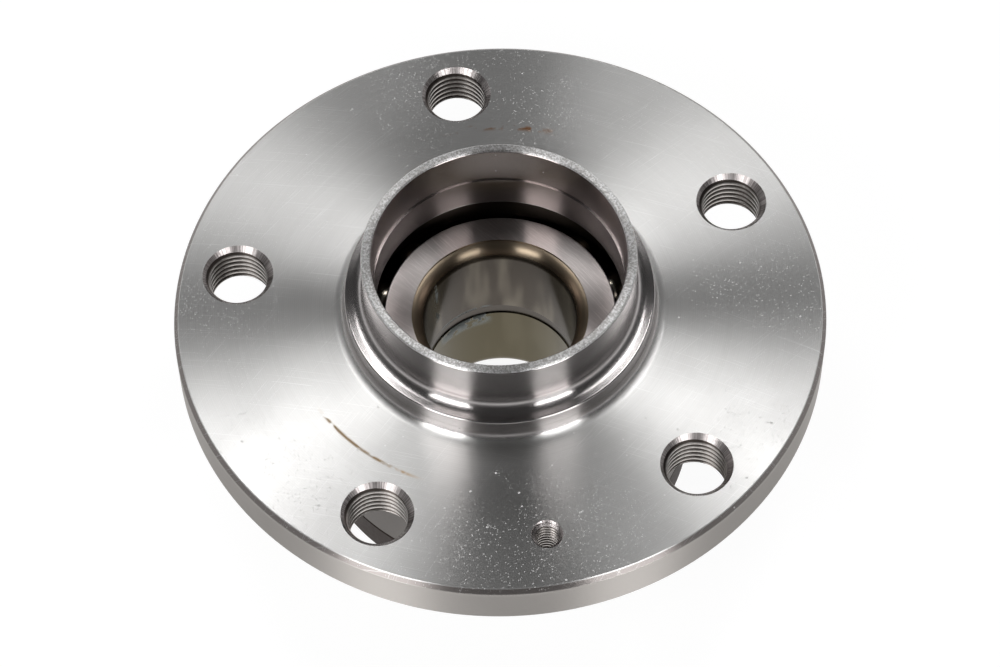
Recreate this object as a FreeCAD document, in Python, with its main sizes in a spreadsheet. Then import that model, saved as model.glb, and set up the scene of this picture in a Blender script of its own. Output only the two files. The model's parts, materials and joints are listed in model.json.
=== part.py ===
"""Wheel hub bearing: a flanged outer ring that turns with the wheel on two rows of angular
contact balls, around a pair of inner rings that stay still on the stub axle.

Lengths are in millimetres and angles in degrees. Z is the bearing's axis and points outboard,
to the wheel. z = 0 is the inboard end, where the inner ring seats on the stub axle's shoulder.
One wheel bolt hole is on +Y, and the brake disc's locating screw is opposite it, on -Y.
"""

import FreeCAD, Part
import math
import operator
import os
import Sketcher

FreeCAD.newDocument("WheelHubBearing")
DOCUMENT = FreeCAD.ActiveDocument

DRIVING_SIZES = {
    # wheel flange
    "flange_diameter": 137.0,
    "flange_thickness": 11.0,
    "flange_chamfer": 1.0,
    "bolt_circle_inset": 12.5,
    "bolt_count": 5,
    "bolt_hole_diameter": 12.4,
    "bolt_countersink": 15.0,
    "screw_hole_diameter": 5.0,
    "screw_countersink": 6.5,
    # stepped collar: brake disc pilot, wheel pilot and cap seat
    "disc_pilot_diameter": 65.0,
    "disc_pilot_height": 5.6,
    "disc_pilot_round": 0.5,
    "wheel_pilot_diameter": 57.0,
    "pilot_fillet": 2.5,
    "rim_height": 18.5,
    "rim_chamfer": 0.4,
    "rim_wall": 2.1,
    "cap_seat_depth": 10.0,
    "cap_seat_step": 0.3,
    "chamber_step": 0.1,
    "chamber_height": 0.3,
    "chamber_round": 1.0,
    # barrel behind the flange
    "barrel_diameter": 83.0,
    "barrel_recess": 1.5,
    "barrel_fillet": 6.0,
    "edge_break": 0.3,
    "encoder_seat_step": 1.9,
    "encoder_seat_length": 9.0,
    "seal_seat_diameter": 68.4,
    "seal_seat_length": 3.2,
    # balls and raceways
    "pitch_diameter": 56.0,
    "row_spacing": 20.0,
    "first_ball_angle": 18.6,
    "ball_diameter": 11.112,
    "ball_gap": 1.3,
    "ball_clearance": 0.06,
    "raceway_ease": 0.224,
    "contact_angle": 38.0,
    "outer_shoulder_step": 2.4,
    # inner rings
    "ring_width": 23.0,
    "ring_face_depth": 3.0,
    "inner_shoulder_step": 3.5,
    "spindle_bore_diameter": 32.0,
    "bore_corner_radius": 3.5,
    "bore_corner_relief": 0.3,
    "bore_step": 2.6,
    # ring that couples the two inner rings
    "coupling_recess": 0.3,
    "coupling_width": 2.8,
    "coupling_thickness": 0.6,
    "coupling_hook_height": 0.75,
    "coupling_hook_width": 0.5,
    "coupling_clearance": 0.1,
    "coupling_slot": 3.0,
    # cages
    "cage_inner_step": 3.8,
    "cage_outer_step": 2.0,
    "cage_rim_thickness": 2.2,
    "cage_prong_length": 2.8,
    "pocket_clearance": 0.2,
    # inboard cassette seal
    "seal_sheet": 0.8,
    "seal_bend": 0.3,
    "seal_lip_share": 0.3,
    "seal_seat_clearance": 0.1,
    "flinger_sleeve_length": 3.5,
    "flinger_diameter": 66.0,
    "flinger_clearance": 0.1,
    "lip_clearance": 0.1,
    "lip_tip": 0.25,
    "lip_skirt_width": 2.4,
    "lip_skirt": 0.4,
    "lip_heel_width": 1.1,
    "face_lip_root_width": 1.2,
    "face_lip_tip_width": 2.4,
    "face_lip_root_height": 1.4,
    "dust_lip_tip_height": 0.55,
    "dust_lip_root_height": 1.9,
    "dust_lip_root_width": 1.6,
    # speed sensor's encoder
    "encoder_sheet": 0.6,
    "encoder_magnet": 1.1,
    "encoder_shoulder_gap": 0.5,
    "encoder_flange_width": 3.1,
    "encoder_magnet_inset": 0.25,
}


class Size:
    """A number together with the sheet formula that gives it."""

    def __init__(self, formula, number):
        self.formula = formula
        self.number = number

    def __add__(self, other):
        return combined(self, "+", other)

    def __sub__(self, other):
        return combined(self, "-", other)

    def __mul__(self, other):
        return combined(self, "*", other)

    def __truediv__(self, other):
        return combined(self, "/", other)

    def __neg__(self):
        return combined(0, "-", self)


SIGNS = {"+": operator.add, "-": operator.sub, "*": operator.mul, "/": operator.truediv}


def as_size(value):
    return value if isinstance(value, Size) else Size(repr(value), value)


def combined(left, sign, right):
    left, right = as_size(left), as_size(right)
    formula = f"({left.formula} {sign} {right.formula})"
    return Size(formula, SIGNS[sign](left.number, right.number))


def cosine(angle):
    return Size(f"cos({angle.formula})", math.cos(math.radians(angle.number)))


def sine(angle):
    return Size(f"sin({angle.formula})", math.sin(math.radians(angle.number)))


def leg(hypotenuse, other_leg):
    """The third side of a right triangle."""
    squares = hypotenuse * hypotenuse - other_leg * other_leg
    return Size(f"sqrt({squares.formula})", math.sqrt(squares.number))


def smaller(first, second):
    formula = f"min({first.formula}; {second.formula})"
    return Size(formula, min(first.number, second.number))


class SizeSheet:
    """The document's spreadsheet of driving sizes, read as attributes: sizes.flange_diameter."""

    def __init__(self, values):
        self.values = values
        sheet = DOCUMENT.addObject("Spreadsheet::Sheet", "Sizes")
        for row, (alias, value) in enumerate(values.items(), start=1):
            sheet.set(f"A{row}", alias.replace("_", " "))
            sheet.set(f"B{row}", str(value))
            sheet.setAlias(f"B{row}", alias)
        DOCUMENT.recompute()

    def __getattr__(self, alias):
        return Size(f"Sizes.{alias}", self.values[alias])


sizes = SizeSheet(DRIVING_SIZES)


# ---------------------------------------------------------------- places that several pieces share

# The most of its ledge or shoulder that a fillet may take, where a changed size leaves little room.
FILLET_SHARE = 0.8

ring_joint = sizes.ring_width
flange_face = sizes.ring_width * 2 + sizes.ring_face_depth
barrel_end = sizes.barrel_recess
row_offset = sizes.row_spacing / 2
bolt_circle_radius = sizes.flange_diameter / 2 - sizes.bolt_circle_inset
pitch_radius = sizes.pitch_diameter / 2
ball_radius = sizes.ball_diameter / 2
pocket_radius = ball_radius + sizes.pocket_clearance
raceway_radius = ball_radius + sizes.raceway_ease
groove_shift = sizes.raceway_ease - sizes.ball_clearance
balls_per_row = int(math.pi * (sizes.pitch_diameter / (sizes.ball_diameter + sizes.ball_gap)).number)

# Each raceway's section is an arc a little larger than the ball. Its centre is moved along the
# contact line, so that the ball and the arc are one clearance apart there.
outer_groove_radius = pitch_radius - cosine(sizes.contact_angle) * groove_shift
outer_groove_offset = row_offset + sine(sizes.contact_angle) * groove_shift
outer_race_bottom = outer_groove_radius + raceway_radius
outer_shoulder = pitch_radius + sizes.outer_shoulder_step
outer_shoulder_offset = outer_groove_offset - leg(
    raceway_radius, outer_shoulder - outer_groove_radius
)
inner_groove_radius = pitch_radius + cosine(sizes.contact_angle) * groove_shift
inner_groove_offset = row_offset - sine(sizes.contact_angle) * groove_shift
inner_race_bottom = inner_groove_radius - raceway_radius
inner_shoulder = pitch_radius - sizes.inner_shoulder_step
inner_shoulder_offset = inner_groove_offset + leg(
    raceway_radius, inner_groove_radius - inner_shoulder
)

seal_web_top = barrel_end + sizes.seal_seat_length - sizes.seal_seat_clearance
seal_web_bottom = seal_web_top - sizes.seal_sheet
flinger_sleeve_radius = inner_shoulder + sizes.seal_sheet
flinger_face = barrel_end - sizes.encoder_sheet - sizes.flinger_clearance
seal_section = sizes.seal_seat_diameter / 2 - flinger_sleeve_radius
seal_web_bore = flinger_sleeve_radius + seal_section * sizes.seal_lip_share
encoder_seat = sizes.barrel_diameter / 2 - sizes.encoder_seat_step
carrier_radius = encoder_seat + sizes.encoder_sheet
encoder_top = barrel_end + sizes.encoder_seat_length - sizes.encoder_shoulder_gap


# ---------------------------------------------------------------- sketches and features


def new_body(label):
    body = DOCUMENT.addObject("PartDesign::Body", label)
    body.Label = label
    return body


def origin_feature(body, role):
    return next(item for item in body.Origin.OriginFeatures if item.Role == role)


def new_sketch(body, name, plane):
    sketch = body.newObject("Sketcher::SketchObject", name)
    sketch.AttachmentSupport = [(origin_feature(body, plane), "")]
    sketch.MapMode = "FlatFace"
    return sketch


def arc_between(start, end, radius):
    """An arc from start to end: a positive radius turns it counter-clockwise."""
    chord = end - start
    middle = (start + end) / 2
    rise = math.sqrt(max(radius**2 - (chord.Length / 2) ** 2, 0))
    left = FreeCAD.Vector(-chord.y, chord.x, 0).normalize()
    centre = middle + left * math.copysign(rise, radius)
    first, last = (start, end) if radius > 0 else (end, start)
    angles = [math.atan2(point.y - centre.y, point.x - centre.x) for point in (first, last)]
    circle = Part.Circle(centre, FreeCAD.Vector(0, 0, 1), abs(radius))
    return Part.ArcOfCircle(circle, *angles)


def pin(sketch, edge, end, direction, place):
    """Holds one end of an edge at its place across (X) or up (Y), by a formula."""
    if place.number == 0:
        axis = -2 if direction == "X" else -1
        sketch.addConstraint(Sketcher.Constraint("PointOnObject", edge, end, axis))
        return
    datum = Sketcher.Constraint(f"Distance{direction}", edge, end, place.number)
    number = sketch.addConstraint(datum)
    sketch.setExpression(f"Constraints[{number}]", place.formula)


def closed_outline(sketch, corners):
    """Joins the corners, each (across, up) or (across, up, radius) where an arc leads to the next."""
    corners = [tuple(as_size(value) for value in corner) for corner in corners]
    points = [FreeCAD.Vector(corner[0].number, corner[1].number, 0) for corner in corners]
    edges = []
    for index, corner in enumerate(corners):
        start, end = points[index], points[(index + 1) % len(points)]
        if len(corner) == 2:
            edges.append((sketch.addGeometry(Part.LineSegment(start, end)), 1, 2))
            continue
        radius = corner[2]
        edge = sketch.addGeometry(arc_between(start, end, radius.number))
        size = as_size(radius if radius.number > 0 else -radius)
        datum = sketch.addConstraint(Sketcher.Constraint("Radius", edge, size.number))
        sketch.setExpression(f"Constraints[{datum}]", size.formula)
        edges.append((edge, 1, 2) if radius.number > 0 else (edge, 2, 1))
    for index, corner in enumerate(corners):
        edge, start, _ = edges[index]
        before, _, end = edges[index - 1]
        sketch.addConstraint(Sketcher.Constraint("Coincident", before, end, edge, start))
        pin(sketch, edge, start, "X", corner[0])
        pin(sketch, edge, start, "Y", corner[1])


def turned(body, corners):
    """A turned piece: the section is drawn on the XZ plane and revolved about Z."""
    sketch = new_sketch(body, f"{body.Label}_section", "XZ_Plane")
    closed_outline(sketch, corners)
    revolution = body.newObject("PartDesign::Revolution", f"{body.Label}_turned")
    revolution.Profile = sketch
    revolution.ReferenceAxis = (sketch, ["V_Axis"])
    revolution.Angle = 360
    sketch.Visibility = False
    return revolution


def ring_section(corners, side):
    """Places (radius, height from the joint plane) corners outboard (side 1) or inboard (side -1)."""
    placed = []
    for radius, height, *arc in corners:
        placed.append((radius, ring_joint + height * side, *[as_size(bend) * side for bend in arc]))
    return placed


def countersunk_hole(body, name, centre, hole_radius, mouth_radius):
    """Cuts a hole through the flange at centre on the Y axis, countersunk on both faces."""
    depth = mouth_radius - hole_radius
    top = flange_face + depth
    bottom = flange_face - sizes.flange_thickness - depth
    sketch = new_sketch(body, f"{name}_section", "YZ_Plane")
    closed_outline(
        sketch,
        [
            (centre, top),
            (centre + mouth_radius + depth, top),
            (centre + hole_radius, top - depth * 2),
            (centre + hole_radius, bottom + depth * 2),
            (centre + mouth_radius + depth, bottom),
            (centre, bottom),
        ],
    )
    groove = body.newObject("PartDesign::Groove", name)
    groove.Profile = sketch
    axis = sketch.addGeometry(
        Part.LineSegment(
            FreeCAD.Vector(centre.number, top.number, 0),
            FreeCAD.Vector(centre.number, bottom.number, 0),
        ),
        True,
    )
    last = axis - 1
    sketch.addConstraint(Sketcher.Constraint("Coincident", axis, 2, last, 1))
    sketch.addConstraint(Sketcher.Constraint("Coincident", axis, 1, last, 2))
    groove.ReferenceAxis = (sketch, ["Axis0"])
    groove.Angle = 360
    sketch.Visibility = False
    return groove


def around_axis(body, feature, count):
    """Repeats a feature evenly about Z."""
    pattern = body.newObject("PartDesign::PolarPattern", f"{feature.Name}_pattern")
    pattern.Originals = [feature]
    pattern.Axis = (origin_feature(body, "Z_Axis"), [""])
    pattern.Angle = 360
    pattern.Occurrences = count
    body.Tip = pattern
    return pattern


# ---------------------------------------------------------------- pieces


def hub_flange():
    """The outer ring, forged in one with the flange and the collar: it turns with the wheel."""
    s = sizes
    body = new_body("hub_flange")
    flange = s.flange_diameter / 2
    back = flange_face - s.flange_thickness
    rim = flange_face + s.rim_height
    wheel_pilot = s.wheel_pilot_diameter / 2
    cap_bore = wheel_pilot - s.rim_wall
    cap_seat_end = rim - s.cap_seat_depth
    collar_bore = cap_bore - s.cap_seat_step
    disc_pilot = s.disc_pilot_diameter / 2
    disc_pilot_top = flange_face + s.disc_pilot_height
    ledge = disc_pilot - s.disc_pilot_round - wheel_pilot
    ledge_fillet = smaller(s.pilot_fillet, ledge * FILLET_SHARE)
    barrel = s.barrel_diameter / 2
    encoder_shoulder = barrel_end + s.encoder_seat_length
    seal_seat = s.seal_seat_diameter / 2
    seal_shoulder = barrel_end + s.seal_seat_length
    edge = s.edge_break
    chamber = outer_shoulder + s.chamber_step
    chamber_start = outer_groove_offset + leg(raceway_radius, chamber - outer_groove_radius)
    chamber_top = flange_face + s.chamber_height
    chamber_shoulder = chamber - collar_bore - edge
    chamber_round = smaller(s.chamber_round, chamber_shoulder * FILLET_SHARE)
    turned(
        body,
        [
            (cap_bore + s.rim_chamfer, rim),
            (wheel_pilot - s.rim_chamfer, rim),
            (wheel_pilot, rim - s.rim_chamfer),
            (wheel_pilot, disc_pilot_top + ledge_fillet, ledge_fillet),
            (wheel_pilot + ledge_fillet, disc_pilot_top),
            (disc_pilot - s.disc_pilot_round, disc_pilot_top, -s.disc_pilot_round),
            (disc_pilot, disc_pilot_top - s.disc_pilot_round),
            (disc_pilot, flange_face + s.pilot_fillet, s.pilot_fillet),
            (disc_pilot + s.pilot_fillet, flange_face),
            (flange - s.flange_chamfer, flange_face),
            (flange, flange_face - s.flange_chamfer),
            (flange, back + s.flange_chamfer),
            (flange - s.flange_chamfer, back),
            (barrel + s.barrel_fillet, back, s.barrel_fillet),
            (barrel, back - s.barrel_fillet),
            (barrel, encoder_shoulder + edge),
            (barrel - edge, encoder_shoulder),
            (encoder_seat, encoder_shoulder),
            (encoder_seat, barrel_end + edge),
            (encoder_seat - edge, barrel_end),
            (seal_seat + edge, barrel_end),
            (seal_seat, barrel_end + edge),
            (seal_seat, seal_shoulder),
            (outer_race_bottom, seal_shoulder),
            (outer_race_bottom, ring_joint - outer_groove_offset, raceway_radius),
            (outer_shoulder, ring_joint - outer_shoulder_offset),
            (outer_shoulder, ring_joint + outer_shoulder_offset, raceway_radius),
            (chamber, ring_joint + chamber_start),
            (chamber, chamber_top - chamber_round, chamber_round),
            (chamber - chamber_round, chamber_top),
            (collar_bore + edge, chamber_top),
            (collar_bore, chamber_top + edge),
            (collar_bore, cap_seat_end),
            (cap_bore, cap_seat_end),
            (cap_bore, rim - s.rim_chamfer),
        ],
    )
    countersunk_hole(
        body,
        "screw_hole",
        -bolt_circle_radius,
        s.screw_hole_diameter / 2,
        s.screw_countersink / 2,
    )
    bolt_hole = countersunk_hole(
        body,
        "bolt_hole",
        bolt_circle_radius,
        s.bolt_hole_diameter / 2,
        s.bolt_countersink / 2,
    )
    around_axis(body, bolt_hole, s.bolt_count.number)


def inner_ring(label, side):
    """One of the two equal inner rings, which meet at the joint plane."""
    s = sizes
    bore = s.spindle_bore_diameter / 2
    step = bore + s.bore_step
    corner = s.bore_corner_radius
    corner_height = s.ring_width - s.bore_corner_relief - corner
    hook_end = s.coupling_width / 2 + s.coupling_clearance
    hook_start = s.coupling_width / 2 - s.coupling_hook_width - s.coupling_clearance
    ledge = bore + s.coupling_recess + s.coupling_thickness + s.coupling_clearance
    groove = ledge + s.coupling_hook_height
    edge = s.edge_break
    section = [
        (bore, corner_height, -corner),
        (step, corner_height + leg(corner, bore + corner - step)),
        (step, s.ring_width),
        (inner_shoulder - edge, s.ring_width),
        (inner_shoulder, s.ring_width - edge),
        (inner_shoulder, inner_shoulder_offset, raceway_radius),
        (inner_race_bottom, inner_groove_offset),
        (inner_race_bottom, edge),
        (inner_race_bottom - edge, as_size(0)),
        (ledge, as_size(0)),
        (ledge, hook_start),
        (groove, hook_start),
        (groove, hook_end),
        (bore, hook_end),
    ]
    turned(new_body(label), ring_section(section, side))


def coupling_ring():
    """A slotted spring steel ring in the bore, hooked into both inner rings to keep them together."""
    s = sizes
    body = new_body("coupling_ring")
    inside = s.spindle_bore_diameter / 2 + s.coupling_recess
    outside = inside + s.coupling_thickness
    hook = outside + s.coupling_hook_height
    end = s.coupling_width / 2
    hook_start = end - s.coupling_hook_width
    upper = [(outside, hook_start), (hook, hook_start), (hook, end), (inside, end)]
    lower = [(radius, -height) for radius, height in reversed(upper)]
    turned(body, ring_section(upper + lower, 1))
    slot_sketch = new_sketch(body, "coupling_slot_outline", "XZ_Plane")
    half_slot = s.coupling_slot / 2
    closed_outline(
        slot_sketch,
        [
            (-half_slot, ring_joint - s.coupling_width),
            (half_slot, ring_joint - s.coupling_width),
            (half_slot, ring_joint + s.coupling_width),
            (-half_slot, ring_joint + s.coupling_width),
        ],
    )
    slot = body.newObject("PartDesign::Pocket", "coupling_slot")
    slot.Profile = slot_sketch
    slot.Type = "Length"
    slot.setExpression("Length", s.spindle_bore_diameter.formula)
    slot_sketch.Visibility = False


def ball_place(index, side):
    """The centre of a ball on the pitch circle of its row, as sizes."""
    angle = sizes.first_ball_angle + as_size(index * 360 / balls_per_row)
    height = ring_joint + row_offset * side
    return pitch_radius * cosine(angle), pitch_radius * sine(angle), height


def cage(label, side):
    """A snap cage of moulded polyamide: a rim by the joint plane, and prongs between the balls."""
    s = sizes
    body = new_body(label)
    inside = pitch_radius - s.cage_inner_step
    outside = pitch_radius + s.cage_outer_step
    prong_end = row_offset + s.cage_prong_length
    rim_end = row_offset - pocket_radius - s.cage_rim_thickness
    edge = s.edge_break
    section = [
        (inside, prong_end),
        (inside, rim_end + edge),
        (inside + edge, rim_end),
        (outside - edge, rim_end),
        (outside, rim_end + edge),
        (outside, prong_end),
    ]
    turned(body, ring_section(section, side))
    pocket = body.newObject("PartDesign::SubtractiveSphere", f"{label}_pocket")
    pocket.AttachmentSupport = [(origin_feature(body, "XY_Plane"), "")]
    pocket.MapMode = "FlatFace"
    pocket.setExpression("Radius", pocket_radius.formula)
    for direction, place in zip("xyz", ball_place(0, side)):
        pocket.setExpression(f"AttachmentOffset.Base.{direction}", place.formula)
    around_axis(body, pocket, balls_per_row)


def ball(label, side, index):
    """A hardened steel ball, held in its row by the cage."""
    sphere = DOCUMENT.addObject("Part::Sphere", label)
    sphere.Label = label
    sphere.setExpression("Radius", ball_radius.formula)
    for direction, place in zip("xyz", ball_place(index, side)):
        sphere.setExpression(f"Placement.Base.{direction}", place.formula)


def seal_case():
    """The cassette seal's pressed steel case, which sits in the barrel and turns with it."""
    s = sizes
    outside = s.seal_seat_diameter / 2
    inside = outside - s.seal_sheet
    outer_bend = s.seal_bend + s.seal_sheet
    end = barrel_end + s.seal_bend
    turned(
        new_body("seal_case"),
        [
            (outside, end),
            (outside, seal_web_top - outer_bend, outer_bend),
            (outside - outer_bend, seal_web_top),
            (seal_web_bore, seal_web_top),
            (seal_web_bore, seal_web_bottom),
            (inside - s.seal_bend, seal_web_bottom, -s.seal_bend),
            (inside, seal_web_bottom - s.seal_bend),
            (inside, end),
        ],
    )


def seal_lip():
    """The rubber bonded to the case: one lip runs on the flinger's face and two on its sleeve."""
    s = sizes
    skirt = seal_web_bore + s.lip_skirt_width
    face_root = seal_web_bore + s.face_lip_root_width
    face_tip = seal_web_bore + s.face_lip_tip_width
    sleeve = flinger_sleeve_radius + s.lip_clearance
    face = flinger_face + s.lip_clearance
    turned(
        new_body("seal_lip"),
        [
            (seal_web_bore, seal_web_top),
            (seal_web_bore, seal_web_bottom),
            (skirt, seal_web_bottom),
            (skirt, seal_web_bottom - s.lip_skirt),
            (face_root, seal_web_bottom - s.lip_skirt),
            (face_tip, face),
            (face_tip - s.lip_tip, face),
            (seal_web_bore, face + s.face_lip_root_height),
            (sleeve, face + s.dust_lip_tip_height),
            (sleeve, face + s.dust_lip_tip_height + s.lip_tip),
            (flinger_sleeve_radius + s.dust_lip_root_width, face + s.dust_lip_root_height),
            (sleeve, seal_web_bottom - s.lip_tip),
            (sleeve, seal_web_bottom),
            (flinger_sleeve_radius + s.lip_heel_width, seal_web_top),
        ],
    )


def flinger():
    """A steel ring pressed on the inboard inner ring, which closes the seal from outside."""
    s = sizes
    inside = inner_shoulder
    sleeve = flinger_sleeve_radius
    outside = s.flinger_diameter / 2
    bend = s.seal_bend
    outer_bend = bend + s.seal_sheet
    web_end = flinger_face - s.seal_sheet
    turned(
        new_body("flinger"),
        [
            (sleeve, web_end + s.flinger_sleeve_length),
            (inside, web_end + s.flinger_sleeve_length),
            (inside, web_end + outer_bend, outer_bend),
            (inside + outer_bend, web_end),
            (outside, web_end),
            (outside, flinger_face),
            (sleeve + bend, flinger_face, -bend),
            (sleeve, flinger_face + bend),
        ],
    )


def encoder_carrier():
    """The pressed steel ring that carries the encoder on the end of the barrel."""
    s = sizes
    flange_bore = encoder_seat - s.encoder_flange_width
    turned(
        new_body("encoder_carrier"),
        [
            (flange_bore, barrel_end),
            (encoder_seat, barrel_end),
            (encoder_seat, encoder_top),
            (carrier_radius, encoder_top),
            (carrier_radius, barrel_end, -s.encoder_sheet),
            (encoder_seat, barrel_end - s.encoder_sheet),
            (flange_bore, barrel_end - s.encoder_sheet),
        ],
    )


def encoder_ring():
    """The magnetised rubber band that the wheel speed sensor reads."""
    s = sizes
    top = encoder_top - s.encoder_magnet_inset
    bottom = barrel_end + s.encoder_magnet_inset
    outside = carrier_radius + s.encoder_magnet
    edge = s.edge_break
    turned(
        new_body("encoder_ring"),
        [
            (carrier_radius, bottom),
            (carrier_radius, top),
            (outside - edge, top),
            (outside, top - edge),
            (outside, bottom + edge),
            (outside - edge, bottom),
        ],
    )


def build():
    hub_flange()
    coupling_ring()
    for row, side in (("outboard", 1), ("inboard", -1)):
        inner_ring(f"{row}_inner_ring", side)
        cage(f"{row}_cage", side)
        for index in range(balls_per_row):
            ball(f"{row}_ball_{index + 1:02d}", side, index)
    seal_case()
    seal_lip()
    flinger()
    encoder_carrier()
    encoder_ring()


def check_and_export():
    DOCUMENT.recompute()
    for item in DOCUMENT.Objects:
        if "Invalid" in item.State or "Error" in item.State:
            raise RuntimeError(f"{item.Label} failed: {item.State}")
    pieces = [
        item for item in DOCUMENT.Objects if item.TypeId in ("PartDesign::Body", "Part::Sphere")
    ]
    for piece in pieces:
        if piece.Shape.isNull() or not piece.Shape.isValid():
            raise RuntimeError(f"{piece.Label} has no valid shape")
    os.makedirs("parts", exist_ok=True)
    for piece in pieces:
        piece.Shape.exportStep(f"parts/{piece.Label}.step")


build()
check_and_export()
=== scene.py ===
"""Wheel hub bearing: the finished look of a flanged hub unit, piece by piece, and its studio."""

import json
import math

import bmesh
import bpy
from bpy.props import FloatProperty, FloatVectorProperty, PointerProperty
from bpy.types import Operator, Panel, PropertyGroup
from mathutils import Matrix, Vector


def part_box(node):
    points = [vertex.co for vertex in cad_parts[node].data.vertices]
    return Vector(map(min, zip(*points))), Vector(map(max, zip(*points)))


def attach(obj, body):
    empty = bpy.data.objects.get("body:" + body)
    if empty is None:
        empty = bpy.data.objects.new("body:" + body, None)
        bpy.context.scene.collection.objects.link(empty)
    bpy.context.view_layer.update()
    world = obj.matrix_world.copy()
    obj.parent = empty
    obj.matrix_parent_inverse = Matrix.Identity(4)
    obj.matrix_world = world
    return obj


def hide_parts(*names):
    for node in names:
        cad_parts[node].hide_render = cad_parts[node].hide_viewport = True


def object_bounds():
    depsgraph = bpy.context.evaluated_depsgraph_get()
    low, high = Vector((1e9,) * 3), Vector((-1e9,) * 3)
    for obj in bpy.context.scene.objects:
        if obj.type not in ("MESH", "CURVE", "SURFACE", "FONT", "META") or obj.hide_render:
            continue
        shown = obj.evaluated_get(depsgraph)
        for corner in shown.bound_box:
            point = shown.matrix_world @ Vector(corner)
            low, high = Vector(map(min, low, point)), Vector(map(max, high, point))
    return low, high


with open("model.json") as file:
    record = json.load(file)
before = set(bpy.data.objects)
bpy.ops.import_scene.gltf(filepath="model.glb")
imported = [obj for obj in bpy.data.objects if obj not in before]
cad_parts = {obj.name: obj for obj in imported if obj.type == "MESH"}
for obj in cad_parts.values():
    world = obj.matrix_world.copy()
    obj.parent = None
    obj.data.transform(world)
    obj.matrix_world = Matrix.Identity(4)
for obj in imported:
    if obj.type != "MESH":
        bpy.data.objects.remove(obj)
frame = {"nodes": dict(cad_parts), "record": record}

bl_info = {
    "name": "Wheel hub bearing",
    "version": (1, 0, 0),
    "blender": (4, 5, 0),
    "location": "View3D > Sidebar > Hub bearing",
    "description": "Builds a flanged wheel hub bearing and the studio it stands in",
    "category": "Add Mesh",
}

CAD_BOX = [list(corner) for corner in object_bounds()]
MM = 0.001
FULL_TURN = 2 * math.pi
ARC_STEP = math.radians(7.5)
SHARP_EDGE = math.radians(30)
FIRST_BOLT = math.radians(90)


# ---------------------------------------------------------------- places taken from the frame


def mount(name):
    return next(item for item in frame["record"]["mounts"] if item["name"] == name)


def mount_radius(name, key="r_mm"):
    return mount(name)["dims"][key] * MM


def outer_radius(node):
    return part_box(node)[1][0]


def low(node):
    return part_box(node)[0][2]


def high(node):
    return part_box(node)[1][2]


FLANGE_FACE = mount("disc_face")["pos_m"][2]
FLANGE_RADIUS = outer_radius("hub_flange")
RIM_TOP = high("hub_flange")
BARREL_END = low("hub_flange")
WHEEL_PILOT = mount_radius("wheel_pilot")
DISC_PILOT = mount_radius("disc_pilot")
CAP_BORE = mount_radius("cap_seat")
BOLT_CIRCLE = mount_radius("wheel_bolts", "pcd_mm") / 2
BOLT_COUNT = mount("wheel_bolts")["dims"]["count"]
BOLT_MINOR = mount_radius("wheel_bolts", "hole_r_mm")
SCREW_MINOR = mount_radius("disc_screw")
SPINDLE_BORE = mount_radius("outboard_ring_bore")
RING_JOINT = low("outboard_inner_ring")
RING_WIDTH = high("outboard_inner_ring") - RING_JOINT
INNER_SHOULDER = outer_radius("outboard_inner_ring")
SEAL_SEAT = outer_radius("seal_case")


def ball_centre(node):
    lowest, highest = (Vector(corner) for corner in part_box(node))
    return (lowest + highest) / 2


BALL_NODES = sorted(node for node in frame["nodes"] if "_ball_" in node)
BALL_RADIUS = (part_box(BALL_NODES[0])[1][2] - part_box(BALL_NODES[0])[0][2]) / 2
PITCH_RADIUS = ball_centre(BALL_NODES[0]).xy.length
ROW_OFFSET = ball_centre("outboard_ball_01").z - RING_JOINT


# ---------------------------------------------------------------- sizes and colours to change


def length(name, description, default):
    return FloatProperty(name=name, description=description, default=default, unit="LENGTH", precision=5)


def angle(name, description, degrees):
    return FloatProperty(name=name, description=description, default=math.radians(degrees), unit="ROTATION")


def number(name, description, default):
    return FloatProperty(name=name, description=description, default=default, min=0.0)


def colour(name, description, default):
    return FloatVectorProperty(
        name=name, description=description, default=default, size=4, min=0.0, max=1.0, subtype="COLOR"
    )


class HubSizes(PropertyGroup):
    flange_thickness: length("Flange thickness", "Between the flange's two faces", 11.0 * MM)
    flange_chamfer: length("Flange chamfer", "On both edges of the flange", 1.0 * MM)
    disc_pilot_height: length("Disc pilot height", "Above the flange face", 5.6 * MM)
    pilot_fillet: length("Pilot fillet", "At the foot of each pilot", 2.5 * MM)
    pilot_round: length("Pilot round", "On the disc pilot's top edge", 0.5 * MM)
    rim_chamfer: length("Rim chamfer", "On the collar's rim", 0.4 * MM)
    cap_seat_step: length("Cap seat step", "How far the cap's seat is bored out", 0.3 * MM)
    cap_seat_depth: length("Cap seat depth", "From the rim to the end of the cap's seat", 10.0 * MM)
    chamber_height: length("Chamber height", "Top of the ball chamber above the flange face", 0.3 * MM)
    chamber_round: length("Chamber round", "In the corner of the ball chamber", 1.0 * MM)
    chamber_ease: length("Chamber ease", "How far the ball chamber clears the land", 0.1 * MM)
    barrel_radius: length("Barrel radius", "Outside of the barrel behind the flange", 41.5 * MM)
    barrel_fillet: length("Barrel fillet", "Between the flange and the barrel", 6.0 * MM)
    encoder_seat_step: length("Encoder seat step", "How far the encoder's seat is turned down", 1.9 * MM)
    encoder_seat_width: length("Encoder seat width", "Along the barrel, from its end", 9.0 * MM)
    seal_seat_depth: length("Seal seat depth", "Into the barrel, from its end", 3.2 * MM)
    bolt_thread: length("Bolt thread radius", "Major radius of the wheel bolts' thread", 7.0 * MM)
    bolt_pitch: length("Bolt thread pitch", "Of the wheel bolts", 1.5 * MM)
    bolt_mouth: length("Bolt hole mouth", "Radius of the countersink at the face", 7.5 * MM)
    screw_thread: length("Screw thread radius", "Major radius of the disc's locating screw", 3.0 * MM)
    screw_pitch: length("Screw thread pitch", "Of the disc's locating screw", 1.0 * MM)
    screw_mouth: length("Screw hole mouth", "Radius of the countersink at the face", 3.25 * MM)
    edge_break: length("Edge break", "On small turned edges", 0.3 * MM)


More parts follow.
